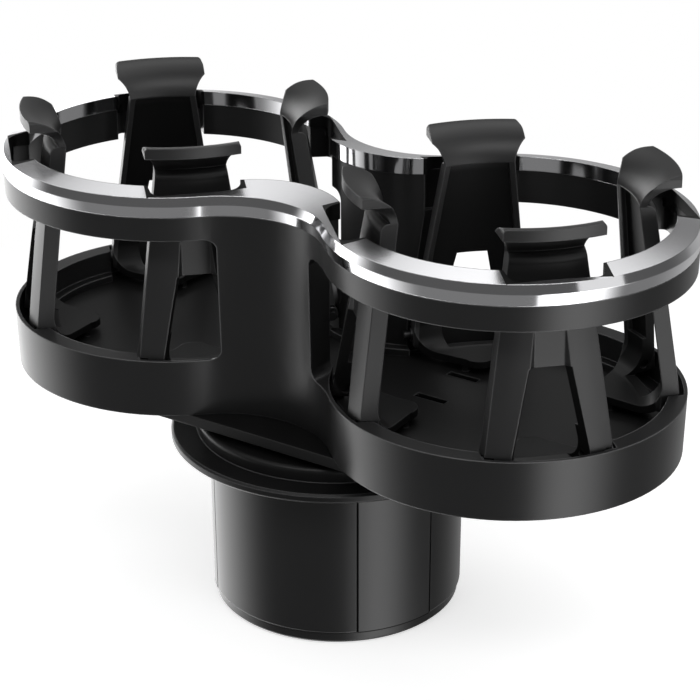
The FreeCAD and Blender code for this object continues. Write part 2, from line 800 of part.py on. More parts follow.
def claw_hollow():
    """The shallow hollow in the inner face of a claw, between its two edges."""
    low = SILL + size("hollow_lift")
    high = NECK - size("run_gap")
    turned = new_body("hollow_turned")
    profile = new_sketch(turned, "hollow_profile", "XZ_Plane")
    draw(profile, [
        (leg_face(low) - BEYOND, low), (leg_face(low, size("hollow_depth")), low),
        (leg_face(high, size("hollow_depth")), high), (leg_face(high) - BEYOND, high)])
    revolve(turned, profile, CLAW_SECTOR, centred=True)
    straight = new_body("hollow_straight")
    front = new_sketch(straight, "hollow_front", "YZ_Plane")
    low_half = leg_edge(low) - size("hollow_rim")
    high_half = leg_edge(high) - size("hollow_rim")
    draw(front, [(-low_half, low), (low_half, low), (high_half, high), (-high_half, high)])
    pad(straight, front, NOTCH_BACK)
    hollow = doc.addObject("Part::Common", "claw_hollow")
    hollow.Base = turned
    hollow.Tool = straight
    return hollow


def make_claw_pin():
    """A stub pin on which one leg of a claw swings, pressed into the wall beside its socket."""
    pin = cylinder("claw_pin", size("pin_radius"), HINGE, PIN_END - size("pin_inner"))
    lay_across(pin, PIN_END)
    return pin


def make_spring():
    """The close-wound coil on a stub pin, as the sleeve that it fills."""
    length = SPRING_END - SPRING_START
    coil = cylinder("spring_coil", SPRING_OUTER, HINGE, length)
    bore = size("spring_radius") - size("spring_wire")
    hollow = cylinder("spring_hollow", bore, HINGE, length + 2 * BEYOND)
    lay_across(coil, SPRING_END)
    lay_across(hollow, SPRING_END + BEYOND)
    return cut_from(coil, hollow, "spring")


def lay_across(piece, end):
    """Turns an upright cylinder on the hinge so that it runs back from the end across the claw."""
    piece.setExpression(".Placement.Base.x", str(HINGE_PLACE))
    piece.setExpression(".Placement.Base.y", str(end))
    piece.setExpression(".Placement.Rotation.Axis.x", "1")
    piece.setExpression(".Placement.Rotation.Axis.z", "0")
    piece.setExpression(".Placement.Rotation.Angle", "90")


def make_screw(name, length):
    """A low-headed screw that stands on its head at the origin."""
    body = new_body(name)
    profile = new_sketch(body, name + "_profile", "XZ_Plane")
    draw(profile, [
        (0, 0), (size("screw_head_radius"), 0), (size("screw_head_radius"), size("screw_head_height")),
        (size("screw_radius"), size("screw_head_height")), (size("screw_radius"), length), (0, length)])
    revolve(body, profile)
    return body


def group_of(source, label, places):
    """One node that holds separate copies of a small piece."""
    copies = []
    for x, y, z in places:
        copy = source.Shape.copy()
        copy.translate(Vector(float(x), float(y), float(z)))
        copies.append(copy)
    group = doc.addObject("Part::Feature", label)
    group.Label = label
    group.Shape = Part.makeCompound(copies)
    return group


def wall_profile(body, name, low, high):
    """The tapered wall shared by the fixed strips and the moving wings."""
    profile = new_sketch(body, name, "XZ_Plane")
    foot = size("panel_foot_radius")
    crown = foot + size("panel_taper")
    wall = size("panel_wall")
    draw(profile, [(foot - wall, low), (foot, low), (crown, high), (crown - wall, high)])
    return profile


def make_core():
    """The fixed middle of the base: floor, tube, three strips of wall on webs, and a bridge.
    Rails on the floor and on the bridge guide the tongues of the wings."""
    body = new_body("base_core")
    inside = size("panel_foot_radius") - size("panel_wall") - size("run_gap")
    levels = (
        ("core_floor", CAP_TOP, inside, size("floor_thick")),
        ("core_tube", CAP_TOP, size("tube_radius"), HUB_BOTTOM - CAP_TOP),
        ("core_bridge", BRIDGE_TOP - size("bridge_thick"), inside, size("bridge_thick")),
    )
    for name, low, radius, height in levels:
        sketch = new_sketch(body, name, "XY_Plane", low)
        draw_circle(sketch, 0, 0, radius)
        pad(body, sketch, height)
    wall = wall_profile(body, "core_strip", CAP_TOP, BASE_TOP)
    strip = revolve(body, wall, size("strip_angle"), centred=True)
    web = new_sketch(body, "core_web", "XY_Plane", CAP_TOP)
    half = size("web_thick") / 2
    start = (size("bolt_radius") + size("tube_radius")) / 2
    reach = size("panel_foot_radius") - size("panel_wall") / 2
    draw_box(web, start, reach, -half, half)
    web_pad = pad(body, web, size("panel_height"))
    boss = new_sketch(body, "core_boss", "XY_Plane", CAP_TOP)
    draw_circle(boss, CAP_SCREWS, 0, size("core_boss_radius"))
    boss_pad = pad(body, boss, size("cap_screw_length"))
    rails = []
    turn = math.pi / BASE_SECTORS
    near = size("tongue_half") + size("fit_gap")
    far = near + size("rail_thick")
    rail_end = inside - size("rail_margin")
    for name, level in (("core_rails_low", FLOOR_TOP), ("core_rails_high", BRIDGE_TOP)):
        for side, tag in ((1, "_a"), (-1, "_b")):
            rail = new_sketch(body, name + tag, "XY_Plane", level)
            corners = [(size("rail_inner"), side * near), (rail_end, side * near),
                       (rail_end, side * far), (size("rail_inner"), side * far)]
            draw(rail, [(u * math.cos(turn) - t * math.sin(turn), u * math.sin(turn) + t * math.cos(turn))
                        for u, t in corners])
            rails.append(pad(body, rail, size("tongue_thick") + size("rail_lip")))
    ring_of(body, [strip, web_pad, boss_pad] + rails, BASE_SECTORS)
    bores = new_sketch(body, "core_bores", "XY_Plane", CAP_TOP)
    draw_circle(bores, 0, 0, size("bolt_radius"))
    pocket(body, bores, HUB_BOTTOM - CAP_TOP + BEYOND, up=True)
    screws = new_sketch(body, "core_screws", "XY_Plane", CAP_TOP)
    for x, y in around(CAP_SCREWS, 0):
        draw_circle(screws, x, y, size("screw_radius"))
    pocket(body, screws, size("cap_screw_length"), up=True)
    body.setExpression(".Placement.Rotation.Angle", str(size("strip_start_angle")))
    return body


def around(radius, first):
    """Places round the axis, one for each sector of the base."""
    step = 360.0 / BASE_SECTORS
    return [(radius * cosine(first + step * index), radius * sine(first + step * index))
            for index in range(BASE_SECTORS)]


def make_wing():
    """A third of the base wall that slides out, with two tongues and a pin for the knob's cam."""
    body = new_body("wing")
    low = CAP_TOP + size("run_gap")
    high = BASE_TOP - size("run_gap")
    angle = 360.0 / BASE_SECTORS - size("strip_angle") - 2 * size("seam_angle")
    revolve(body, wall_profile(body, "wing_wall", low, high), angle, centred=True)
    reach = size("panel_foot_radius") - size("panel_wall") / 2
    for name, level in (("wing_tongue_low", FLOOR_TOP), ("wing_tongue_high", BRIDGE_TOP)):
        tongue = new_sketch(body, name, "XY_Plane", level)
        draw_box(tongue, size("tongue_inner"), reach, -size("tongue_half"), size("tongue_half"))
        pad(body, tongue, size("tongue_thick"))
    pin = new_sketch(body, "wing_pin", "XY_Plane", BRIDGE_TOP)
    draw_circle(pin, size("slide_pin_place"), 0, size("slide_pin_radius"))
    pad(body, pin, KNOB_BOTTOM + size("groove_depth") - size("run_gap") - BRIDGE_TOP)
    return body


def cam_groove(turn):
    """The solid of one spiral groove. Its middle line moves out in step with the knob's turn, so a
    pin that can only slide along its wing's direction follows it with the same clearance."""
    start = float(size("slide_pin_place"))
    travel = float(size("slide_travel"))
    sweep = math.radians(float(size("knob_turn")))
    half = float(size("slide_pin_radius") + size("cam_gap"))
    low = float(KNOB_BOTTOM) - BEYOND
    edges = {1: [], -1: []}
    middle = []
    for step in range(CAM_STEPS + 1):
        part = step / CAM_STEPS
        radius = start + travel * part
        angle = turn - sweep * part
        along = Vector(travel * math.cos(angle) + radius * sweep * math.sin(angle),
                       travel * math.sin(angle) - radius * sweep * math.cos(angle), 0).normalize()
        across = Vector(-along.y, along.x, 0)
        point = Vector(radius * math.cos(angle), radius * math.sin(angle), low)
        middle.append((point, along))
        for side in edges:
            edges[side].append(point + across * (side * half))
    first, first_way = middle[0]
    last, last_way = middle[-1]
    arcs = [Part.Arc(edges[1][0], first - first_way * half, edges[-1][0]),
            Part.Arc(edges[1][-1], last + last_way * half, edges[-1][-1])]
    for points in edges.values():
        arcs += [Part.Arc(*points[step:step + 3]) for step in range(0, CAM_STEPS, 2)]
    wire = Part.Wire(Part.__sortEdges__([arc.toShape() for arc in arcs]))
    return Part.Face(wire).extrude(Vector(0, 0, float(size("groove_depth")) + BEYOND))


def make_knob():
    """The knob between base and holder: grip flange, collar with a rounded shoulder and, on its
    underside, one spiral groove for each wing."""
    body = new_body("knob_body")
    bevel = size("knob_bevel")
    collar = size("collar_radius")
    round_off = size("collar_round")
    edge = size("knob_radius")
    profile = new_sketch(body, "knob_profile", "XZ_Plane")
    draw(profile, [
        (size("tube_radius") + size("fit_gap"), KNOB_BOTTOM), (edge - bevel, KNOB_BOTTOM),
        (edge, KNOB_BOTTOM + bevel), (edge, KNOB_TOP - bevel), (edge - bevel, KNOB_TOP), (collar, KNOB_TOP),
        (collar, COLLAR_TOP - round_off), (collar - round_off, COLLAR_TOP),
        (size("collar_inner"), COLLAR_TOP), (size("collar_inner"), KNOB_TOP),
        (size("knob_boss_radius"), KNOB_TOP), (size("knob_boss_radius"), COLLAR_TOP),
        (size("tube_radius") + size("fit_gap"), COLLAR_TOP),
    ], {6: (round_off, 1, False)})
    revolve(body, profile)
    doc.recompute()
    grooves = doc.addObject("Part::Feature", "knob_grooves")
    first = float(size("strip_start_angle")) + 180.0 / BASE_SECTORS
    grooves.Shape = Part.makeCompound([
        cam_groove(math.radians(first + 360.0 / BASE_SECTORS * index)) for index in range(BASE_SECTORS)])
    return cut_from(body, grooves, "base_knob")


def make_cap():
    """The cap screwed under the base, with a recess for the nut of the swivel bolt."""
    body = new_body("bottom_cap")
    bevel = size("cap_bevel")
    edge = size("panel_foot_radius") - size("cap_inset")
    profile = new_sketch(body, "cap_profile", "XZ_Plane")
    draw(profile, [(0, 0), (edge - bevel, 0), (edge, bevel), (edge, CAP_TOP), (0, CAP_TOP)])
    revolve(body, profile)
    nut = new_sketch(body, "cap_nut_recess", "XY_Plane", CAP_TOP)
    draw_circle(nut, 0, 0, size("nut_radius") + size("seat_gap"))
    pocket(body, nut, size("nut_height"))
    bores = new_sketch(body, "cap_bores", "XY_Plane")
    heads = new_sketch(body, "cap_heads", "XY_Plane")
    for x, y in around(CAP_SCREWS, size("strip_start_angle")):
        draw_circle(bores, x, y, size("screw_radius"))
        draw_circle(heads, x, y, size("screw_head_radius"))
    pocket(body, bores, CAP_TOP + BEYOND, up=True)
    pocket(body, heads, size("screw_head_height"), up=True)
    return body


def cylinder(name, radius, low, height):
    piece = doc.addObject("Part::Cylinder", name)
    piece.setExpression("Radius", str(radius))
    piece.setExpression("Height", str(height))
    piece.setExpression(".Placement.Base.z", str(low))
    return piece


def hexagon(name, radius, low, height):
    piece = doc.addObject("Part::Prism", name)
    piece.Polygon = 6
    piece.setExpression("Circumradius", str(radius))
    piece.setExpression("Height", str(height))
    piece.setExpression(".Placement.Base.z", str(low))
    return piece


def bored(piece, label):
    """The piece with the swivel bolt's hole right through it."""
    return cut_from(piece, cylinder(label + "_bore", size("bolt_radius"), 0, HOLDER_BOTTOM * 2), label)


def make_swivel_fixings():
    """The bolt through hub and tube, with its washer and nut."""
    washer_low = HOLDER_BOTTOM
    head_low = washer_low + size("washer_thick")
    nut_low = CAP_TOP - size("nut_height")
    bolt = doc.addObject("Part::Fuse", "swivel_bolt")
    bolt.Base = cylinder("bolt_shank", size("bolt_radius"), nut_low, head_low - nut_low)
    bolt.Tool = hexagon("bolt_head", size("bolt_head_radius"), head_low, size("bolt_head_height"))
    disc = cylinder("washer_disc", size("washer_radius"), washer_low, size("washer_thick"))
    block = hexagon("nut_block", size("nut_radius"), nut_low, size("nut_height"))
    return [bolt, bored(disc, "swivel_washer"), bored(block, "swivel_nut")]


nodes = [make_shell(), make_trim(), make_deck(), make_cover(), make_hub()]
nodes += [make_core(), make_knob(), make_cap()]
nodes += make_swivel_fixings()

claw = make_claw()
claw_pin = make_claw_pin()
spring = make_spring()
cover_screw = make_screw("cover_screw", DECK_BOTTOM - SHELF_BOTTOM - size("run_gap"))
hub_screw = make_screw("hub_screw", HOLDER_BOTTOM - HUB_BOTTOM - size("run_gap"))
cap_screw = make_screw("cap_screw", CAP_TOP + size("cap_screw_length") - size("run_gap"))
wing = make_wing()
doc.recompute()

across = Vector(0, 1, 0)
both_pins = Part.makeCompound([claw_pin.Shape, claw_pin.Shape.mirror(Vector(), across)])
both_springs = Part.makeCompound([spring.Shape, spring.Shape.mirror(Vector(), across)])
pins = []
for station, placement in claw_stations():
    nodes.append(placed_copy(claw.Shape, "claw_" + station, placement))
    nodes.append(placed_copy(both_springs, "spring_" + station, placement))
    pins.append(both_pins.transformed(placement.toMatrix()))
claw_pins = doc.addObject("Part::Feature", "claw_pins")
claw_pins.Shape = Part.makeCompound(pins)
nodes.append(claw_pins)

nodes.append(group_of(cover_screw, "cover_screws", [(x, y, SHELF_BOTTOM) for x, y in cover_screw_places()]))
nodes.append(group_of(hub_screw, "hub_screws", [(x, y, HUB_BOTTOM) for x, y in hub_screw_places()]))
nodes.append(group_of(cap_screw, "cap_screws", [
    (x, y, 0) for x, y in around(CAP_SCREWS, size("strip_start_angle"))]))
for index, name in enumerate(("wing_right", "wing_left", "wing_front")):
    turn = float(size("strip_start_angle")) + 180.0 / BASE_SECTORS + 360.0 / BASE_SECTORS * index
    spin = FreeCAD.Rotation(Vector(0, 0, 1), turn)
    nodes.append(placed_copy(wing.Shape, name, FreeCAD.Placement(Vector(), spin)))
doc.recompute()

for item in doc.Objects:
    if "Invalid" in item.State or "Error" in item.State:
        raise RuntimeError("%s failed" % item.Name)
for node in nodes:
    if node.Shape.isNull() or not node.Shape.isValid() or not node.Shape.Solids:
        raise RuntimeError("%s has no valid solid" % node.Label)

os.makedirs("parts", exist_ok=True)
for node in nodes:
    node.Shape.exportStep(os.path.join("parts", node.Label + ".step"))
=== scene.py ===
import json
import math

import bpy
from mathutils import Matrix, Vector

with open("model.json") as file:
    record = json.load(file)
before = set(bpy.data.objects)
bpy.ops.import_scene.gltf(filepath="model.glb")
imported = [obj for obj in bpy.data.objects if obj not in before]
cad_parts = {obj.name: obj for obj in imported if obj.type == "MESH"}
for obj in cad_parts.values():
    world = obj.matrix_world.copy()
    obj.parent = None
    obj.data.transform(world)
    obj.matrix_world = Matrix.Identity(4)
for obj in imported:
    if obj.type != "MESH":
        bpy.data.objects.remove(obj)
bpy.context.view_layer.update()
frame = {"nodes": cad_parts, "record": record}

MM = 0.001
bpy.context.scene.view_settings.view_transform = "Standard"


class Value:
    """A shader socket that takes part in arithmetic, one Math node for each operation."""

    def __init__(self, shader, socket):
        self.shader = shader
        self.socket = socket

    def __add__(self, other):
        return self.shader.math("ADD", self, other)

    __radd__ = __add__

    def __mul__(self, other):
        return self.shader.math("MULTIPLY", self, other)

    __rmul__ = __mul__

    def __sub__(self, other):
        return self.shader.math("SUBTRACT", self, other)

    def __rsub__(self, other):
        return self.shader.math("SUBTRACT", other, self)

    def __abs__(self):
        return self.shader.math("ABSOLUTE", self)

    def sign(self):
        """-1, 0 or 1."""
        return self.shader.math("SIGN", self)

    def rises(self, low, high):
        """A smooth 0 to 1 as this value goes from low to high, or 1 to 0 where low is the larger."""
        if low > high:
            return 1 - self.rises(high, low)
        return self.shader.value("Result", "ShaderNodeMapRange", {"interpolation_type": "SMOOTHSTEP"}, {
            "Value": self, "From Min": low, "From Max": high})

    def between(self, low, high, soft):
        """1 between low and high, with soft edges."""
        return self.rises(low - soft, low + soft) * self.rises(high + soft, high - soft)


class Shader:
    """A material in the making, or the world, with one method for every node."""

    def __init__(self, owner):
        owner.use_nodes = True
        self.owner = owner
        self.tree = owner.node_tree
        self.tree.nodes.clear()

    def node(self, kind, settings=None, sockets=None):
        made = self.tree.nodes.new(kind)
        for name, setting in (settings or {}).items():
            setattr(made, name, setting)
        for name, value in (sockets or {}).items():
            self.feed(made.inputs[name], value)
        return made

    def feed(self, entry, value):
        """Link a socket of another node, or set a plain number or colour."""
        if isinstance(value, Value):
            self.tree.links.new(value.socket, entry)
        elif hasattr(value, "is_output"):
            self.tree.links.new(value, entry)
        else:
            entry.default_value = value

    def math(self, operation, first, second=0.0):
        return self.value(0, "ShaderNodeMath", {"operation": operation}, {0: first, 1: second})

    def larger(self, *values):
        """The largest of some values."""
        largest = values[0]
        for value in values[1:]:
            largest = self.math("MAXIMUM", largest, value)
        return largest

    def value(self, output, kind, settings=None, sockets=None):
        """One output of a new node, ready for arithmetic."""
        return Value(self, self.node(kind, settings, sockets).outputs[output])

    def noise(self, place, scale, detail):
        return self.value("Fac", "ShaderNodeTexNoise", None, {
            "Vector": place, "Scale": scale, "Detail": detail, "Roughness": NOISE_ROUGHNESS})

    def place(self):
        """Where a point lies on the object, in metres."""
        return self.value("Object", "ShaderNodeTexCoord")

    def facing(self):
        """The three parts of the way that a point's surface faces on the object."""
        return self.parts_of(self.value("Normal", "ShaderNodeTexCoord"))

    def parts_of(self, vector):
        split = self.node("ShaderNodeSeparateXYZ", None, {0: vector})
        return [Value(self, split.outputs[axis]) for axis in range(3)]

    def rounded(self, radius):
        """The normal that the surface would have with its edges rounded to this radius."""
        return self.value("Normal", "ShaderNodeBevel", {"samples": SHADER_SAMPLES}, {"Radius": radius})

    def bumped(self, strength, depth, height, normal):
        return self.value("Normal", "ShaderNodeBump", None, {
            "Strength": strength, "Distance": depth, "Height": height, "Normal": normal})

    def mix(self, share, first, second):
        """A colour between two others."""
        made = self.node("ShaderNodeMix", {"data_type": "RGBA"}, {
            0: share, MIX_FIRST: first, MIX_SECOND: second})
        return made.outputs[MIX_RESULT]

    def emission(self, strength):
        return self.node("ShaderNodeEmission", None, {"Color": WHITE, "Strength": strength}).outputs[0]

    def diffuse(self, level):
        return self.node("ShaderNodeBsdfDiffuse", None, {"Color": (level, level, level, 1)}).outputs[0]

    def principled(self, sockets):
        return self.node("ShaderNodeBsdfPrincipled", None, sockets).outputs[0]

    def blend(self, share, first, second):
        return self.node("ShaderNodeMixShader", None, {0: share, 1: first, 2: second}).outputs[0]

    def surface(self, shader, output="ShaderNodeOutputMaterial"):
        self.node(output, None, {"Surface": shader})


def new_material(name):
    return Shader(bpy.data.materials.new(name))


def grey(level):
    """A grey with a trace of blue, as black plastic and plating have."""
    return (level, level, level * BLUE_TRACE, 1)


# The sockets that a Mix node has for colours.
MIX_FIRST = 6
MIX_SECOND = 7
MIX_RESULT = 2

WHITE = (1, 1, 1, 1)
BLUE_TRACE = 1.02
NOISE_ROUGHNESS = 0.55
NOISE_MIDDLE = 0.5
SHADER_SAMPLES = 6

# Moulded plastic, with a painted highlight along its edges and painted shade in its crevices. The scale of a
# noise is in waves per metre.
TINT_SPREAD = 0.2
GLOSS_DRIFT = 35.0
GLOSS_DRIFT_ROUGH = 0.06
GRAIN = 2600.0
GRAIN_ROUGH = 0.05
GRAIN_DEPTH = 0.05 * MM
MOULDED_EDGE = 0.5 * MM
EDGE_BEND = (0.995, 0.93)
EDGE_SHINE = 0.08
CREVICE_REACH = 5 * MM
CREVICE_OPEN = (0.75, 0.10)
CREVICE_PAINTED_SHADE = 0.75
DEEP_SHADE = {"Base Color": grey(0.002), "Roughness": 0.6, "Specular IOR Level": 0.12}


def moulded(name, level, rough, grain=0.05, specular=0.5, painted_edge_highlight=6.0, shade=None):
    """Moulded plastic: fine spark-eroded grain, slow unevenness in its gloss, glossier edges with a painted
    highlight in their colour, and painted shade in its crevices.

    level is how light its grey is, and the edge factor how many times lighter its painted edge highlight
    is. shade is a function that returns a 0 to 1 value where painted shade makes the surface nearly black.
    """
    shader = new_material(name)
    place = shader.place()
    drift = shader.noise(place, GLOSS_DRIFT, 2.0)
    fine = shader.noise(place, GRAIN, 2.0)
    rounded = shader.rounded(MOULDED_EDGE)
    flat = shader.value("Normal", "ShaderNodeNewGeometry")
    bend = shader.value("Value", "ShaderNodeVectorMath", {"operation": "DOT_PRODUCT"}, {0: rounded, 1: flat})
    # Painted highlight: the base colour is lighter along edges, as a glint would make them; the edges are
    # also really glossier.
    edge_gloss_and_painted_highlight = bend.rises(*EDGE_BEND)
    tint = shader.mix(drift, grey(level * (1 - TINT_SPREAD)), grey(level * (1 + TINT_SPREAD)))
    surface = shader.principled({
        "Base Color": shader.mix(edge_gloss_and_painted_highlight, tint, grey(level * painted_edge_highlight)),
        "Roughness": (rough + (drift - NOISE_MIDDLE) * GLOSS_DRIFT_ROUGH
                      + (fine - NOISE_MIDDLE) * GRAIN_ROUGH - edge_gloss_and_painted_highlight * EDGE_SHINE),
        "Specular IOR Level": specular,
        "Normal": shader.bumped(grain, GRAIN_DEPTH, fine, rounded)})
    # Painted shade: crevices and recesses, found by ambient occlusion, are blended towards near black, with
    # the given painted shade where that is darker.
    open_air = shader.value("AO", "ShaderNodeAmbientOcclusion", {"samples": SHADER_SAMPLES}, {
        "Distance": CREVICE_REACH})
    dark = open_air.rises(*CREVICE_OPEN) * CREVICE_PAINTED_SHADE
    if shade:
        dark = shader.larger(dark, shade(shader, place))
    shader.surface(shader.blend(dark, surface, shader.principled(DEEP_SHADE)))
    return shader.owner


# Plated metal and plastic, and the near-black plastic finish painted over the plating as shade.
PLATING_SPREAD = 0.04
PLATING_WAVE = 45.0
WAVE_DEPTH = 0.2 * MM
WAVE_STRENGTH = 0.05
BRUSH_GRAIN = 900.0
PLATED_EDGE = 0.3 * MM
LEVEL_FACE = (0.7, 0.9)
PAINTED_SHADE_LEVELS = (0.005, 0.008)
PAINTED_SHADE_ROUGH = 0.5
PAINTED_SHADE_SPECULAR = 0.25


def plated(name, level, rough, brushed=0.0, satin_top=0.0, painted_shade_where=None):
    """Bright plating, very slightly wavy, and satin where it faces up.

    The last argument is a function that returns a 0 to 1 value where painted shade, a near-black plastic
    finish, takes the place of the plating.
    """
    shader = new_material(name)
    place = shader.place()
    wave = shader.noise(place, PLATING_WAVE, 1.0)
    fine = shader.noise(place, BRUSH_GRAIN, 3.0)
    upward = shader.facing()[2]
    covered = shader.principled({
        "Base Color": shader.mix(wave, grey(level * (1 - PLATING_SPREAD)), grey(level)),
        "Metallic": 1.0,
        "Roughness": rough + (fine - NOISE_MIDDLE) * brushed + upward.rises(*LEVEL_FACE) * satin_top,
        "Normal": shader.bumped(WAVE_STRENGTH, WAVE_DEPTH, wave, shader.rounded(PLATED_EDGE))})
    # Painted shade: a near-black plastic finish instead of plating where the mask is 1.
    if painted_shade_where:
        plastic = shader.principled({
            "Base Color": shader.mix(wave, *map(grey, PAINTED_SHADE_LEVELS)), "Roughness": PAINTED_SHADE_ROUGH,
            "Specular IOR Level": PAINTED_SHADE_SPECULAR})
        covered = shader.blend(painted_shade_where(shader, place), covered, plastic)
    shader.surface(covered)
    return shader.owner


# Places on the object, from the axis of the base or the middle of a well, and levels above the
# base's foot, that bound painted shade. A pair is where a painted shade begins and where it is in full.
# NECK_SHADE is its lower end, its upper end, and how softly both fade.
WELL_PLACE = 53.5 * MM
NOTCH_HALF = 13.05 * MM
NOTCH_BACK = 45.75 * MM
NOTCH_LINE = 0.02 * MM
FOOT_TOP = 71.9 * MM
FOOT_ROOT = 1.2 * MM
LEG_FOOT = 76.0 * MM
LEG_HALF = 16.2 * MM
LEG_TAPER = 6.7 / 49.5
LEG_RIM = (1.3 * MM, 1.7 * MM)
NECK = 125.5 * MM
HOLLOW_TOP = (NECK + 0.5 * MM, NECK - 3 * MM)
NECK_SHADE = (NECK - 8 * MM, NECK + 2 * MM, 2 * MM)
ARCH_HALF = (10 * MM, 9.5 * MM)
ARCH_TOP = 98.0 * MM
ARCH_ROUND = 1.0 * MM
SQUARE_ON = (0.5, 0.8)
FACING_OUT = (-0.3, -0.7)
DIAGONAL = math.sqrt(0.5)

# How dark the painted shade is at each shaded place of a claw.
HOLLOW_DARK = 0.8
ARCH_DARK = 0.85
FOOT_DARK = 0.5
NECK_DARK = 0.55

# The base, where painted shade marks its seams: degrees round its axis, and levels. ROUND_ON keeps a
# turn above 0 and puts each strip in the middle of its sector.
STRIP_TURN = -27.8
SECTOR = 120.0
ROUND_ON = 1.5 * SECTOR
SEAM_TURN = 18.7
SEAM_HALF = (0.62, 0.42)
SEAM_TOP = (48.4 * MM, 48.2 * MM)
CAP_TOP = 3.4 * MM
SEAM_FOOT = (CAP_TOP - 0.1 * MM, CAP_TOP)
CAP_LINE_HALF = (0.34 * MM, 0.2 * MM)


def round_claw(shader, place):
    """Outward and sideways from the middle of a well, along the nearest claw's own direction."""
    east, north = shader.parts_of(place)[:2]
    along = abs(abs(east) - WELL_PLACE)
    beside = abs(north)
    return (along + beside) * DIAGONAL, abs((along - beside) * DIAGONAL)


def notch_painted_shade(shader, place):
    """Painted shade on the walls of the eight notches that the claws swing into."""
    outward, sideways = round_claw(shader, place)
    return (sideways.rises(NOTCH_HALF + NOTCH_LINE, NOTCH_HALF)
            * outward.rises(NOTCH_BACK + NOTCH_LINE, NOTCH_BACK))


def claw_painted_shade(shader, place):
    """Painted shade on a claw: its hollow inner face, the sides of its arch, its foot, and its neck under the
    flared head.
    """
    sideways = round_claw(shader, place)[1]
    east, north, rise = shader.parts_of(place)
    face_x, face_y = shader.facing()[:2]
    claw_x = (east - east.sign() * WELL_PLACE).sign()
    claw_y = north.sign()
    inward = (face_x * claw_x + face_y * claw_y) * -DIAGONAL
    across = abs((face_x * claw_y - face_y * claw_x) * DIAGONAL)
    from_edge = LEG_HALF - (rise - LEG_FOOT) * LEG_TAPER - sideways
    hollow = inward.rises(*SQUARE_ON) * from_edge.rises(*LEG_RIM) * rise.rises(*HOLLOW_TOP)
    arch = across.rises(*SQUARE_ON) * sideways.rises(*ARCH_HALF) * rise.rises(ARCH_TOP + ARCH_ROUND, ARCH_TOP)
    foot = rise.rises(FOOT_TOP + FOOT_ROOT, FOOT_TOP)
    neck = inward.rises(*FACING_OUT) * rise.between(*NECK_SHADE)
    return shader.larger(hollow * HOLLOW_DARK, arch * ARCH_DARK, foot * FOOT_DARK, neck * NECK_DARK)


def seam_painted_shade(shader, place):
    """Painted shade along the gaps between the moving thirds of the base wall and its fixed strips, and along
    the one over the cap.
    """
    east, north, rise = shader.parts_of(place)
    turn = shader.math("ARCTAN2", north, east) * math.degrees(1) - STRIP_TURN + ROUND_ON
    from_strip = abs(shader.math("MODULO", turn, SECTOR) - SECTOR / 2)
    upright = abs(from_strip - SEAM_TURN).rises(*SEAM_HALF) * rise.rises(*SEAM_TOP) * rise.rises(*SEAM_FOOT)
    round_cap = abs(rise - CAP_TOP).rises(*CAP_LINE_HALF)
    return shader.larger(upright, round_cap)


# The edge factor of each finish sets how much lighter its painted edge highlight is.
FINISHES = {
    "body_black": moulded("satin_black_moulding", 0.017, 0.30, painted_edge_highlight=9.0),
    "claw_black": moulded("grained_black_claw", 0.021, 0.40, grain=0.10, painted_edge_highlight=4.0, shade=claw_painted_shade),
    "inner_black": moulded("matt_black_floor", 0.010, 0.40, grain=0.10, specular=0.45, painted_edge_highlight=8.0),
    "base_black": moulded("satin_black_base", 0.016, 0.30, painted_edge_highlight=8.0, shade=seam_painted_shade),
    "bright_trim": plated("bright_trim_plating", 0.90, 0.09, satin_top=0.16, painted_shade_where=notch_painted_shade),
    "steel": plated("dark_zinc_steel", 0.22, 0.30, brushed=0.1),
    "spring_steel": plated("dark_spring_steel", 0.14, 0.34, brushed=0.1),
}
OWN_FINISH = {
    "base_core": moulded("satin_black_strip", 0.028, 0.34, painted_edge_highlight=5.0, shade=seam_painted_shade),
    "base_knob": moulded("dull_black_knob", 0.009, 0.38, specular=0.32, painted_edge_highlight=12.0),
    # The cover is a darker copy of the floor plastic: its black is partly painted shade under the holder.
    "bottom_cover": moulded("matt_black_cover_with_painted_shade", 0.006, 0.45, specular=0.3),
    "claw_pins": plated("blackened_pin", 0.05, 0.4),
}
for part in frame["record"]["subparts"]:
    node = frame["nodes"][part["node"]]
    if len(node.material_slots) == 0:
        node.data.materials.append(None)
    for slot in node.material_slots:
        slot.material = OWN_FINISH.get(part["node"], FINISHES[part["material_slot"]])

# Camera, as fitted to the photograph: direction and roll in degrees, distance, and framing in the
# photograph's own points.
AZIMUTH = 34.54
ELEVATION = 23.08
ROLL = -0.305
DISTANCE = 0.5995
AIM = Vector((0, 0, 0.080))
FOCAL = 2202.0
FRAME = 700.0
CENTRE = (335.8, 323.5)
SENSOR = 36.0


def sine(degrees):
    return math.sin(math.radians(degrees))


def cosine(degrees):
    return math.cos(math.radians(degrees))


def towards(turn, rise):
    """The way out from the object, so many degrees round from the camera's side and up from level."""
    azimuth = AZIMUTH + turn
    return Vector((sine(azimuth) * cosine(rise), -cosine(azimuth) * cosine(rise), sine(rise)))


def add_camera():
    """The camera at the photograph's place, with its framing as lens and shift."""
    right = Vector((cosine(AZIMUTH), sine(AZIMUTH), 0))
    back = towards(0, ELEVATION)
    up = back.cross(right)
    across = right * cosine(ROLL) + up * sine(ROLL)
    upward = up * cosine(ROLL) - right * sine(ROLL)
    lens = bpy.data.cameras.new("camera")
    lens.sensor_width = SENSOR
    lens.lens = FOCAL / FRAME * SENSOR
    lens.shift_x = (FRAME / 2 - CENTRE[0]) / FRAME
    lens.shift_y = (CENTRE[1] - FRAME / 2) / FRAME
    lens.clip_start = 0.01
    lens.clip_end = 20.0
    camera = bpy.data.objects.new("camera", lens)
    bpy.context.scene.collection.objects.link(camera)
    turned = Matrix((across, upward, back)).transposed().to_4x4()
    camera.matrix_world = Matrix.Translation(AIM + back * DISTANCE) @ turned
    bpy.context.scene.camera = camera


LAMP_AIM = Vector((0, 0, 0.09))


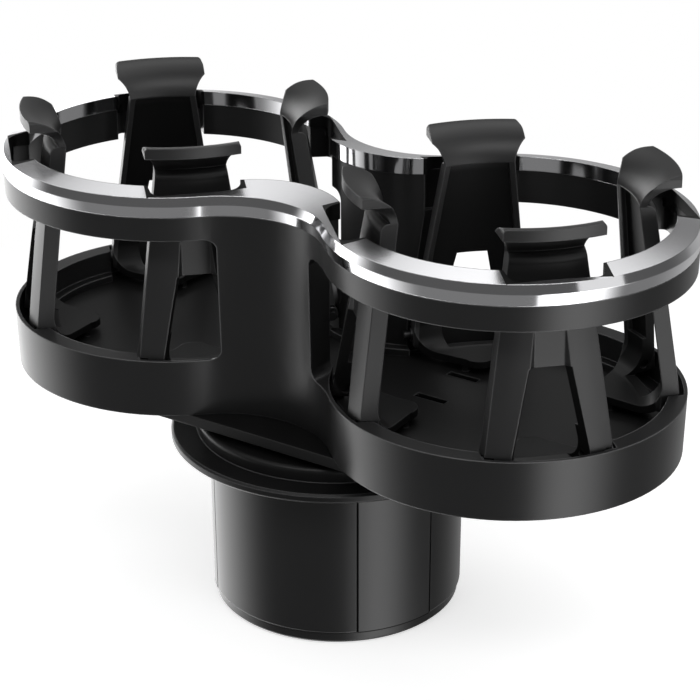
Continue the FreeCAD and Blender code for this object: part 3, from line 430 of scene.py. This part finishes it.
def soft_box(name, turn, rise, distance, width, height, brightness):
    """A soft box that looks at the object, turned by so many degrees from the camera to its right."""
    lamp = bpy.data.lights.new(name, "AREA")
    lamp.shape = "RECTANGLE"
    lamp.size = width
    lamp.size_y = height
    lamp.energy = brightness * math.pi * width * height
    out = towards(turn, rise)
    stand = bpy.data.objects.new(name, lamp)
    bpy.context.scene.collection.objects.link(stand)
    stand.location = LAMP_AIM + out * distance
    stand.rotation_euler = out.to_track_quat("Z", "Y").to_euler()
    stand.visible_camera = False


add_camera()
soft_box("rim_box_left", turn=-130, rise=2, distance=0.55, width=0.36, height=0.24, brightness=1.0)
soft_box("fill_box_right", turn=50, rise=25, distance=0.80, width=0.35, height=0.40, brightness=0.7)
soft_box("top_box", turn=160, rise=72, distance=1.0, width=0.7, height=0.7, brightness=0.8)
soft_box("front_top_box", turn=0, rise=50, distance=0.90, width=1.2, height=0.18, brightness=3.0)

# Studio walls and ceiling. A turn is in degrees round from the camera's side, positive to its right,
# and a rise is the sine of the elevation. A pair is where a part begins and where it is in full.
# PANEL_RISE is the panels' lower end, their upper end, and how softly both fade.
BEHIND_TURN = (95, 150)
PANEL_RISE = (0.56, 0.88, 0.05)
LOW_RISE = (0.50, 0.0)
UNDER_RISE = (0.02, -0.04)
WALL_RISE = (0.24, 0.10)
LEFT_WALL_NEAR = (-63, -118)
LEFT_WALL_FAR = (-180, -168)
RIGHT_WALL_NEAR = (14.5, 15.5)
RIGHT_WALL_FAR = (78, 36)
RIGHT_WALL_HEART = (15, 32)

# How bright the parts of the studio are.
STUDIO_LIGHT = 0.09
PANEL_LIGHT = 0.60
PANEL_LIGHT_BEHIND = 0.25
LOW_LIGHT_BEHIND = 0.25
UNDER_LIGHT = 0.10
LEFT_WALL_LIGHT = 2.0
RIGHT_WALL_LIGHT = 1.1
RIGHT_HEART_LIGHT = 1.6


def heading(shader, direction):
    """Degrees round the upright axis from the camera's side, positive to its right, and the rise."""
    east, north, rise = shader.parts_of(direction)
    ahead = east * sine(AZIMUTH) - north * cosine(AZIMUTH)
    aside = east * cosine(AZIMUTH) + north * sine(AZIMUTH)
    return shader.math("ARCTAN2", aside, ahead) * math.degrees(1), rise


def add_studio():
    """Walls and ceiling: white to the camera, darker panels where they light and mirror."""
    world = bpy.data.worlds.new("studio")
    bpy.context.scene.world = world
    sky = Shader(world)
    to_camera = sky.value("Is Camera Ray", "ShaderNodeLightPath")
    turn, rise = heading(sky, sky.value("Generated", "ShaderNodeTexCoord"))
    behind = abs(turn).rises(*BEHIND_TURN)
    panels = rise.between(*PANEL_RISE)
    low = rise.rises(*LOW_RISE)
    under = rise.rises(*UNDER_RISE)
    left = turn.rises(*LEFT_WALL_NEAR) * turn.rises(*LEFT_WALL_FAR) * rise.rises(*WALL_RISE)
    right = turn.rises(*RIGHT_WALL_NEAR) * turn.rises(*RIGHT_WALL_FAR) * rise.rises(*WALL_RISE)
    heart = turn.rises(*RIGHT_WALL_HEART)
    brightness = (STUDIO_LIGHT + panels * (PANEL_LIGHT + behind * PANEL_LIGHT_BEHIND)
                  + low * behind * LOW_LIGHT_BEHIND + under * UNDER_LIGHT + left * LEFT_WALL_LIGHT
                  + right * (RIGHT_WALL_LIGHT + heart * RIGHT_HEART_LIGHT))
    seen = sky.node("ShaderNodeBackground", None, {"Color": WHITE, "Strength": 1.0})
    fill = sky.node("ShaderNodeBackground", None, {"Color": WHITE, "Strength": brightness})
    sky.surface(sky.blend(to_camera, fill.outputs[0], seen.outputs[0]), "ShaderNodeOutputWorld")


# The floor: half its width, how far under the base it lies, how pale it is to the camera and to
# the light, the glow that brings it up to white, and where it has become plain white.
FLOOR_REACH = 6.0
FLOOR_DROP = 0.3 * MM
FLOOR_PALE = 0.92
FLOOR_BOUNCE = 0.55
FLOOR_GLOW = 0.62
FLOOR_WHITE = (0.16, 0.30)


def floor_material():
    """Pale, with the object's shadow near it, plain white further out, and clear to mirrored rays."""
    shader = new_material("studio_floor")
    rays = shader.node("ShaderNodeLightPath")
    far = shader.value("Value", "ShaderNodeVectorMath", {"operation": "LENGTH"}, {0: shader.place()})
    lit = shader.node("ShaderNodeAddShader", None, {
        0: shader.diffuse(FLOOR_PALE), 1: shader.emission(FLOOR_GLOW)})
    to_camera = shader.blend(far.rises(*FLOOR_WHITE), lit.outputs[0], shader.emission(1.0))
    clear = shader.node("ShaderNodeBsdfTransparent").outputs[0]
    to_light = shader.blend(rays.outputs["Is Glossy Ray"], shader.diffuse(FLOOR_BOUNCE), clear)
    shader.surface(shader.blend(rays.outputs["Is Camera Ray"], to_light, to_camera))
    return shader.owner


def add_floor():
    """The plain floor just under the base."""
    mesh = bpy.data.meshes.new("studio_floor")
    corners = [(-FLOOR_REACH, -FLOOR_REACH, 0), (FLOOR_REACH, -FLOOR_REACH, 0),
               (FLOOR_REACH, FLOOR_REACH, 0), (-FLOOR_REACH, FLOOR_REACH, 0)]
    mesh.from_pydata(corners, [], [(0, 1, 2, 3)])
    mesh.materials.append(floor_material())
    floor = bpy.data.objects.new("studio_floor", mesh)
    bpy.context.scene.collection.objects.link(floor)
    floor.location.z = -FLOOR_DROP


add_studio()
add_floor()
